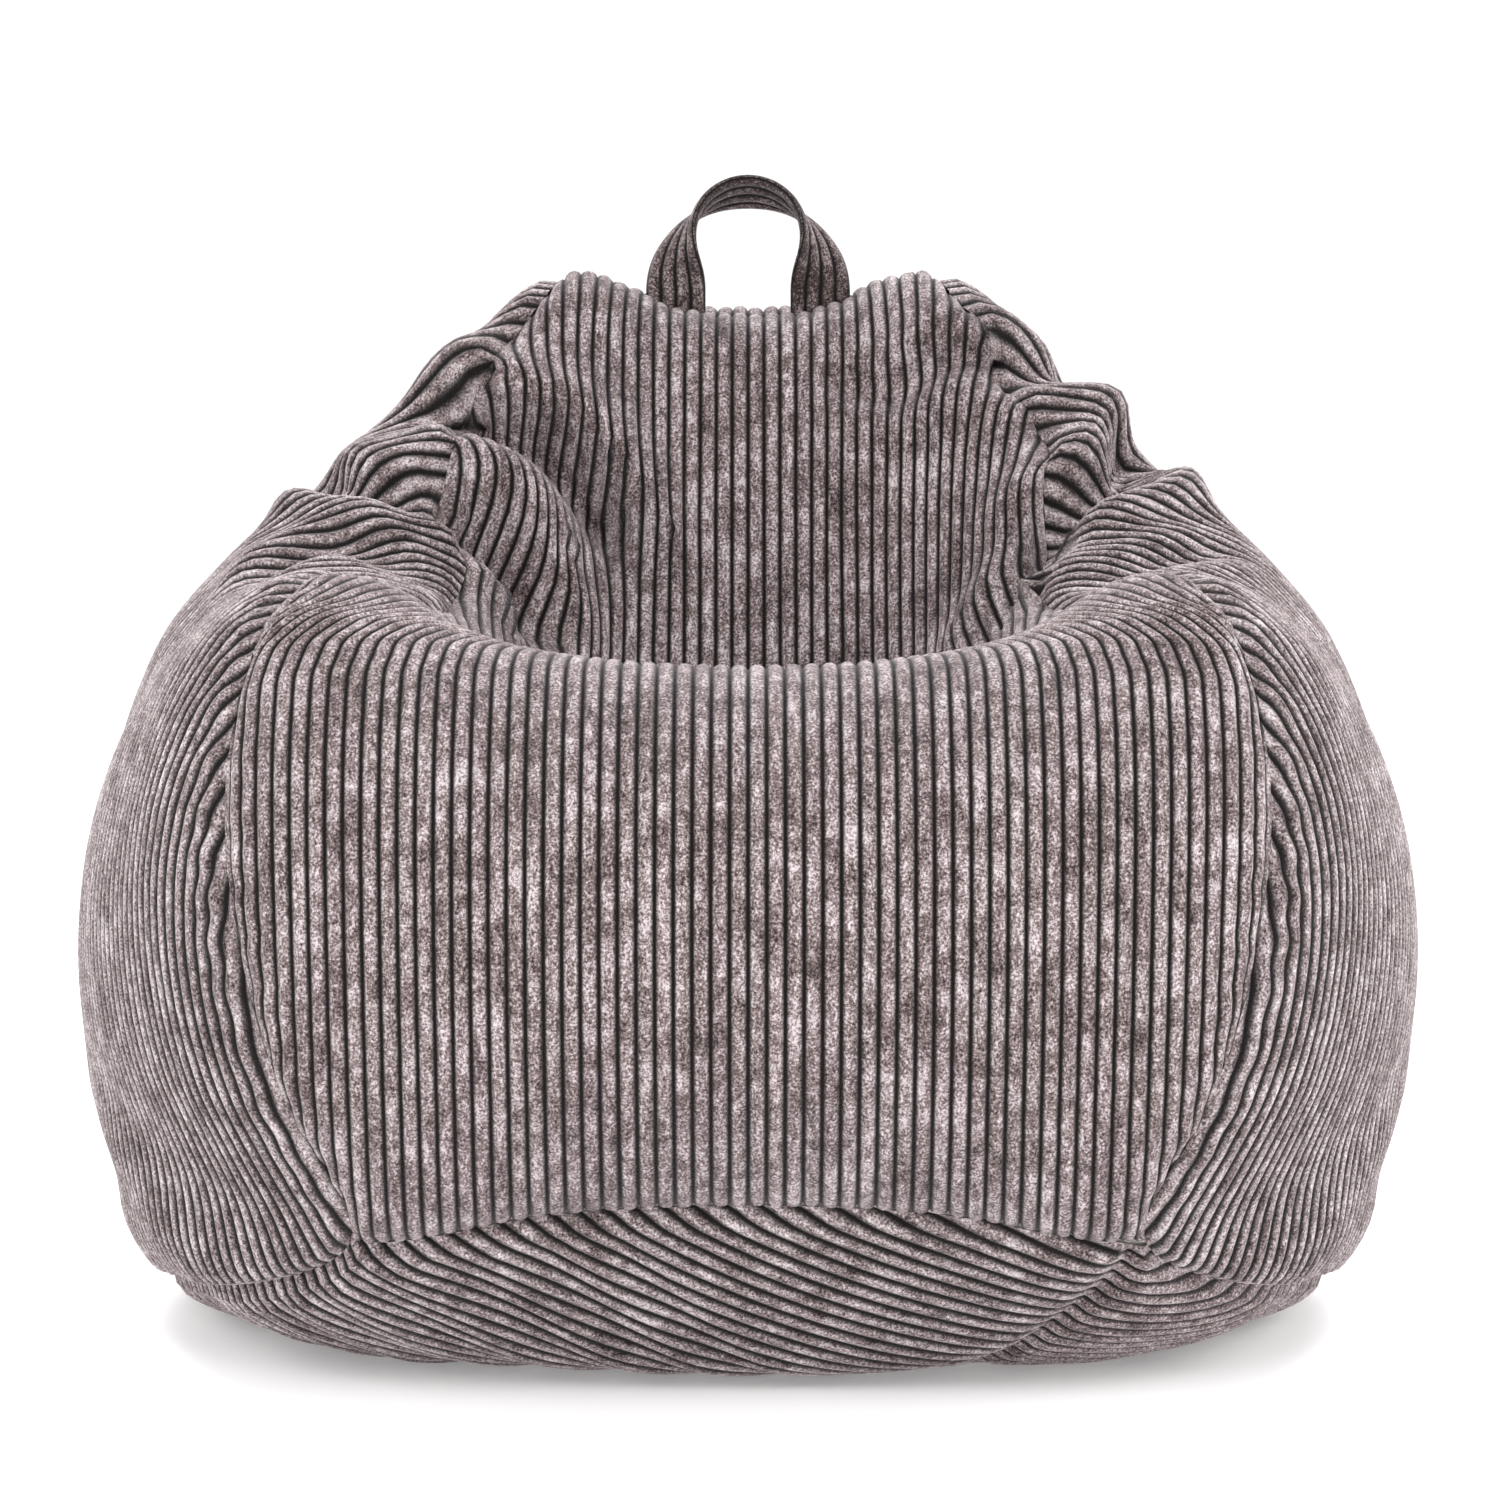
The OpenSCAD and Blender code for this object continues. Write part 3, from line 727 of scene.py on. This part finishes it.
# %% [markdown]
# ## Materials
# Corduroy shines softly on the crowns of its wales. The bottom of each groove is painted dark, as painted
# shade where the ridges keep the light out. The pile leans this way and that, which gives patches of
# lighter and darker taupe. The wale number is in each panel's map, so one material fits them all.
# %% Materials
def to_linear(hex_code):
    parts = [int(hex_code[k:k + 2], 16) / 255 for k in (1, 3, 5)]
    return [c / 12.92 if c <= 0.04045 else ((c + 0.055) / 1.055) ** 2.4 for c in parts] + [1]


def node(tree, kind, settings=None, out=0, **links):
    """Add a shader node, set its properties, connect or fill its inputs, and give one of its outputs."""
    made = tree.nodes.new("ShaderNode" + kind)
    for key, value in (settings or {}).items():
        setattr(made, key, value)
    for key, value in links.items():
        socket = made.inputs[int(key[1:]) if key[1:].isdigit() else key.replace("_", " ")]
        if isinstance(value, bpy.types.NodeSocket):
            tree.links.new(value, socket)
        else:
            socket.default_value = value
    return made.outputs[out]


ADD, SUBTRACT, MULTIPLY, MULTIPLY_ADD, ABSOLUTE, FRACT, SINE, MAXIMUM = (
    {"operation": name} for name in
    ("ADD", "SUBTRACT", "MULTIPLY", "MULTIPLY_ADD", "ABSOLUTE", "FRACT", "SINE", "MAXIMUM"))
COLOUR_MIX = {"data_type": "RGBA", "blend_type": "MIX"}  # inputs 0, 6 and 7, output 2


def new_material(name):
    material = bpy.data.materials.new(name)
    material.use_nodes = True
    material.node_tree.nodes.clear()
    return material, material.node_tree


def finish_material(tree, shader):
    out = tree.nodes.new("ShaderNodeOutputMaterial")
    tree.links.new(shader, out.inputs[0])


# %% [markdown]
# ### Corduroy
# The pile is cut cotton: matt, with a soft sheen where it is seen from the side. Its lie varies in
# patches about 38 mm across, in smaller ones of 9 mm, and in streaks along each wale. Single tufts
# are drawn 1.6 mm across, about twice their real size, so that they show.
# %% Corduroy
PATCH, SMALL_PATCH, TUFT = 1 / 26, 1 / 110, 1 / 620  # metres


def corduroy(name, light, middle, dark, groove, groove_shade_start=0.24):
    material, tree = new_material(name)
    place = node(tree, "UVMap", {"uv_map": "wales"})
    space = node(tree, "TexCoord", out="Object")
    phase = node(tree, "Math", FRACT, i0=node(tree, "SeparateXYZ", i0=place))
    from_crown = node(tree, "Math", ABSOLUTE, i0=node(tree, "Math", SUBTRACT, i0=phase, i1=0.5))
    stretched = node(tree, "Mapping", i0=place, Scale=(2.2, 0.45, 1.0))
    patches = node(tree, "TexNoise", i0=space, Scale=1 / PATCH, Detail=3.0, Roughness=0.6)
    small = node(tree, "TexNoise", i0=space, Scale=1 / SMALL_PATCH, Detail=3.0, Roughness=0.6)
    streaks = node(tree, "TexNoise", i0=stretched, Scale=1.0, Detail=4.0, Roughness=0.7)
    pile = node(tree, "TexNoise", i0=space, Scale=1 / TUFT, Detail=2.0, Roughness=0.8)
    # how much each one moves the shade either way from the middle
    shares = [(patches, 0.9), (streaks, 1.1), (small, 0.9), (pile, 2.6)]
    lie = 0.5 - sum(share for noise, share in shares) / 2
    for noise, share in shares:
        lie = node(tree, "Math", MULTIPLY_ADD, i0=noise, i1=share, i2=lie)
    shade = node(tree, "ValToRGB", i0=lie)
    ramp = shade.node.color_ramp
    ramp.elements[0].position, ramp.elements[0].color = 0.0, to_linear(dark)
    ramp.elements[1].position, ramp.elements[1].color = 1.0, to_linear(light)
    ramp.elements.new(0.5).color = to_linear(middle)
    # painted shade: the colour darkens from the wale's crown into its groove, where the ridges shade it
    groove_painted_shade = node(tree, "MapRange", {"interpolation_type": "SMOOTHSTEP"}, i0=from_crown,
                     i1=groove_shade_start, i2=0.45, i3=0.0, i4=1.0)
    colour = node(tree, "Mix", COLOUR_MIX, out=2, i0=groove_painted_shade, i6=shade, i7=to_linear(groove))
    fibre = node(tree, "Math", ADD, i0=node(tree, "Math", MULTIPLY, i0=pile, i1=0.7),
                 i1=node(tree, "Math", MULTIPLY, i0=small, i1=0.3))
    finish_material(tree, node(
        tree, "BsdfPrincipled", Base_Color=colour, Roughness=0.85, Specular_IOR_Level=0.25,
        Sheen_Weight=0.35, Sheen_Roughness=0.45, Sheen_Tint=to_linear("#f0e8ec"),
        Normal=node(tree, "Bump", Strength=0.8, Distance=0.002, Height=fibre)))
    return material


# %% [markdown]
# ### Tapes, teeth, metal, liner and beads
# Zip tape is a plain polyester weave, drawn from the tape's own map, which counts threads. Teeth and
# sliders are smooth, moulded or plated, so a fine grain that barely breaks the highlight is enough.
# The liner is a matt non-woven cloth, and the beads are matt white foam.
# %% Woven and plain finishes
def woven(name, crown, gap_painted_shade):
    material, tree = new_material(name)
    place = node(tree, "UVMap", {"uv_map": "weave"})
    # over and under: the higher of the two threads shows
    over = [node(tree, "Math", ABSOLUTE, i0=node(tree, "Math", SINE, i0=node(
        tree, "Math", MULTIPLY, i0=node(tree, "SeparateXYZ", i0=place, out=axis), i1=math.pi)))
        for axis in (0, 1)]
    height = node(tree, "Math", MAXIMUM, i0=over[0], i1=over[1])
    # painted shade: the low places between the threads take the darker colour
    colour = node(tree, "Mix", COLOUR_MIX, out=2, i0=height, i6=to_linear(gap_painted_shade), i7=to_linear(crown))
    finish_material(tree, node(
        tree, "BsdfPrincipled", Base_Color=colour, Roughness=0.8, Sheen_Weight=0.2,
        Normal=node(tree, "Bump", Strength=0.5, Distance=0.0002, Height=height)))
    return material


def plain(name, colour, roughness, metallic=0.0, grain=600.0, depth=0.0001):
    material, tree = new_material(name)
    grains = node(tree, "TexNoise", i0=node(tree, "TexCoord", out="Object"), Scale=grain, Detail=3.0)
    share = node(tree, "Math", MULTIPLY, i0=grains, i1=0.3)
    tint = node(tree, "Mix", COLOUR_MIX, out=2, i0=share, i6=to_linear(colour), i7=(0, 0, 0, 1))
    finish_material(tree, node(
        tree, "BsdfPrincipled", Base_Color=tint, Roughness=roughness, Metallic=metallic,
        Normal=node(tree, "Bump", Strength=0.4, Distance=depth, Height=grains)))
    return material


# the last colour is painted shade for the bottom of the grooves
cord = corduroy("taupe_wide_wale_corduroy", "#d9ced0", "#7f6f6f", "#2a1f1e", "#0b0504")
# a lighter copy of the corduroy for the sides and the base: paler crowns and middle as painted light, and
# wider grooves of painted shade
side_cord_painted_light = corduroy("taupe_corduroy_painted_light", "#e0d6d8", "#8d7d7d", "#281d1c", "#070302",
                     groove_shade_start=0.10)
# a darker copy of the same corduroy for the handle: painted shade over the whole strap
handle_cord = corduroy("handle_corduroy_painted_shade", "#a89b9a", "#4f403f", "#17100e", "#080403")
tape_weave = woven("brown_polyester_zip_tape", "#6a584c", "#43362e")
white_weave = woven("white_polyester_zip_tape", "#e2dfd9", "#b5b1aa")
nylon_teeth = plain("brown_nylon_zip_teeth", "#52433a", 0.4)
zinc = plain("plated_zinc_slider", "#b9b9bb", 0.3, metallic=1.0)
liner_cloth = plain("white_polypropylene_liner", "#dedbd4", 0.75, grain=1400.0)
white_nylon = plain("white_nylon_zip_teeth", "#cfcdc6", 0.45)
polystyrene = plain("expanded_polystyrene_beads", "#f2f1ec", 0.6, grain=250.0, depth=0.001)

# %% [markdown]
# ## The zips' tapes and teeth
# Each row of teeth is sewn to a narrow woven tape. A tape starts as a flat grid with a rib beside the
# teeth and another at its far edge, and then gets its thickness. The teeth are turns of a nylon coil,
# so each row is a line of small rounded blocks, one every two millimetres.
# %% Zip tapes
TAPE_WIDTH, TAPE_THREAD = 0.014, 0.0006


def along_zip(mesh, middle):
    """Turn a bmesh made along X into the zip's direction and carry it to its place."""
    bmesh.ops.rotate(mesh, verts=mesh.verts, cent=(0, 0, 0),
                     matrix=Matrix.Rotation(math.atan2(ZIP_ALONG[1], ZIP_ALONG[0]), 3, "Z"))
    bmesh.ops.translate(mesh, verts=mesh.verts, vec=Vector(middle))


def add_piece(name, mesh, smooth=True):
    for face in mesh.faces:
        face.smooth = smooth
    data = bpy.data.meshes.new(name)
    mesh.to_mesh(data)
    mesh.free()
    piece = bpy.data.objects.new(name, data)
    bpy.context.scene.collection.objects.link(piece)
    return piece


def length_and_middle(node_name, width):
    """Length along the zip, and the middle, of a CAD bar that lies along it."""
    low, high = (np.array(p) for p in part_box(node_name))
    return ((high - low)[0] - width * abs(ZIP_ALONG[1])) / ZIP_ALONG[0], (low + high) / 2, (high - low)[2]


def woven_tape(node_name):
    length, middle, thick = length_and_middle(node_name, TAPE_WIDTH)
    mesh = bmesh.new()
    marks = mesh.loops.layers.uv.new("weave")
    bmesh.ops.create_grid(mesh, x_segments=160, y_segments=12, size=0.5)
    bmesh.ops.scale(mesh, verts=mesh.verts, vec=(length, TAPE_WIDTH, 1))
    for face in mesh.faces:
        for loop in face.loops:
            loop[marks].uv = (loop.vert.co.x / TAPE_THREAD, loop.vert.co.y / TAPE_THREAD)
    for vertex in mesh.verts:
        vertex.co.z = 0.00012 * math.cos(vertex.co.y / TAPE_WIDTH * 4 * math.pi)
    bmesh.ops.recalc_face_normals(mesh, faces=mesh.faces)
    bmesh.ops.solidify(mesh, geom=mesh.faces[:], thickness=thick / 2)
    bmesh.ops.recalc_face_normals(mesh, faces=mesh.faces)
    along_zip(mesh, middle)
    tape = add_piece(node_name + "_woven", mesh)
    print(tape.name, round(length, 3), "m long")
    return tape, length


# %% Zip teeth
TOOTH_PITCH, TOOTH_WIDTH = 0.002, 0.002


def coil_teeth(node_name):
    """A row of coil turns in the place of the plain bar."""
    length, middle, thick = length_and_middle(node_name, TOOTH_WIDTH)
    mesh = bmesh.new()
    count = int(length / TOOTH_PITCH)
    for k in range(count):
        turn = bmesh.ops.create_cube(mesh, size=1)["verts"]
        bmesh.ops.scale(mesh, verts=turn, vec=(0.62 * TOOTH_PITCH, TOOTH_WIDTH, thick))
        bmesh.ops.translate(mesh, verts=turn, vec=((k + 0.5 - count / 2) * length / count, 0, 0))
    bmesh.ops.bevel(mesh, geom=mesh.edges[:], offset=0.00022, segments=1, profile=0.5,
                    affect="EDGES", material=-1)
    along_zip(mesh, middle)
    row = add_piece(node_name + "_coil", mesh, smooth=False)
    print(row.name, count, "teeth")
    return row


# %% [markdown]
# ## Putting the pieces in place
# Each panel gets its finish and its body, and takes the place of its plain CAD node. A panel's map is
# its flat pattern, so the size it was cut to is read from there. The liner's halves are measured on
# the smooth bag. The zips' hard pieces keep their CAD shape.
# %% Finishes, bodies and cuts
def dress(obj, material, slot, body, *nodes):
    obj.data.materials.append(material)
    if body:
        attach(obj, body)
    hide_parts(*nodes)


def pattern_size(obj):
    """Width, length and area of a panel's flat pattern, in metres, from its map."""
    uv = np.empty(2 * len(obj.data.loops))
    obj.data.uv_layers["wales"].data.foreach_get("uv", uv)
    uv = uv.reshape(-1, 2) * PITCH
    area = 0.0
    for face in obj.data.polygons:
        x, y = uv[list(face.loop_indices)].T
        area += abs(np.dot(x, np.roll(y, -1)) - np.dot(y, np.roll(x, -1))) / 2
    return *np.ptp(uv, axis=0), area


PANELS = {"seat_panel": seat_panel, "back_panel": back_panel, "left_side_panel": left_panel,
          "right_side_panel": right_panel, "base_front_panel": base_front, "base_back_panel": base_back}
# these panels take the lighter copy, with its painted light and its wider painted groove shade
PAINTED_LIGHT_PANELS = ("left_side_panel", "right_side_panel", "base_front_panel")
for name, panel in PANELS.items():
    dress(panel, side_cord_painted_light if name in PAINTED_LIGHT_PANELS else cord, "corduroy", "bag", name)
    width, length, area = pattern_size(panel)
    print(name, "cut", round(width, 3), "x", round(length, 3), "m,", round(area, 3), "m2")
for half, name in ((liner_front, "liner_front"), (liner_back, "liner_back")):
    dress(half, liner_cloth, "liner_cloth", "bag", name)
    area = sum(face.area for face in half.data.polygons)
    print(name, "cut", 1.30, "x", round(area / 1.30 / 0.75, 3), "m,", round(area, 3), "m2")
dress(beads, polystyrene, "beads", "bag", "bead_fill")
dress(handle, handle_cord, "corduroy", None, "handle_strap")
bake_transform(handle)
print("handle strap", STRAP_WIDTH, "x", round(strap_length, 3), "m")

# %% The zips' finishes
for zip_name, tape_finish, tape_slot, teeth_finish, teeth_slot in (
        ("cover_zip", tape_weave, "zip_tape", nylon_teeth, "zip_teeth"),
        ("liner_zip", white_weave, "liner_cloth", white_nylon, "liner_zip_teeth")):
    for side in ("front", "back"):
        tape_name, teeth_name = f"{zip_name}_tape_{side}", f"{zip_name}_teeth_{side}"
        tape, tape_length = woven_tape(tape_name)
        dress(tape, tape_finish, tape_slot, "bag", tape_name)
        dress(coil_teeth(teeth_name), teeth_finish, teeth_slot, "bag", teeth_name)
    for hard in ("stop_closed", "stop_open", "slider"):
        NODES[f"{zip_name}_{hard}"].data.materials.clear()
        NODES[f"{zip_name}_{hard}"].data.materials.append(zinc)

# %% [markdown]
# ## Floor and light
# A white floor under a white sky gives the even light of a product picture. Two soft lamps in front
# bring out the wales from the sides, two behind light the shoulders, and a small one keeps the
# floor in front white.
# %% Floor and light
floor_mesh = bmesh.new()
bmesh.ops.create_grid(floor_mesh, x_segments=1, y_segments=1, size=20)
floor_data = bpy.data.meshes.new("floor")
floor_mesh.to_mesh(floor_data)
floor_mesh.free()
floor = bpy.data.objects.new("floor", floor_data)
bpy.context.scene.collection.objects.link(floor)
floor.location.z = -0.0005
floor_material, floor_tree = new_material("white_paper_floor")
finish_material(floor_tree, node(
    floor_tree, "BsdfPrincipled", Base_Color=to_linear("#ffffff"), Roughness=0.9,
    Emission_Color=(1, 1, 1, 1), Emission_Strength=0.22))
floor_data.materials.append(floor_material)


def lamp(name, place, target, size, power):
    data = bpy.data.lights.new(name, "AREA")
    data.shape, data.size, data.energy = "SQUARE", size, power
    obj = bpy.data.objects.new(name, data)
    obj.location = place
    obj.rotation_euler = (Vector(target) - Vector(place)).to_track_quat("-Z", "Y").to_euler()
    bpy.context.scene.collection.objects.link(obj)
    return obj


lamp("left_lamp", (-2.0, -1.8, 1.9), (0, 0, 0.25), 1.4, 24)
lamp("right_lamp", (2.3, -1.0, 1.6), (0, 0, 0.25), 1.4, 22)
lamp("back_left_lamp", (-1.3, 1.5, 2.1), (-0.1, 0, 0.4), 1.0, 42)
lamp("back_right_lamp", (1.4, 1.5, 2.1), (0.1, 0, 0.4), 1.0, 42)
lamp("paper_lamp", (0, -1.7, 1.7), (0, -0.95, 0), 0.9, 10)
world = bpy.data.worlds.new("white_room")
bpy.context.scene.world = world
world.use_nodes = True
room = world.node_tree.nodes["Background"]
room.inputs[0].default_value = (1, 1, 1, 1)
# the room is brightest low down and dimmer overhead, and fully white to the camera
sky = world.node_tree
to_camera = node(sky, "LightPath", out="Is Camera Ray")
height = node(sky, "SeparateXYZ", out=2, i0=node(sky, "TexCoord", out="Generated"))
overhead = node(sky, "MapRange", i0=height, i1=0.1, i2=0.85, i3=1.1, i4=0.70)
lit = node(sky, "Math", MULTIPLY, i0=overhead, i1=node(sky, "Math", SUBTRACT, i0=1.0, i1=to_camera))
plain_white = node(sky, "Math", MULTIPLY, i0=to_camera, i1=1.05)
sky.links.new(node(sky, "Math", ADD, i0=plain_white, i1=lit), room.inputs[1])
bpy.context.scene.view_settings.view_transform = "Standard"
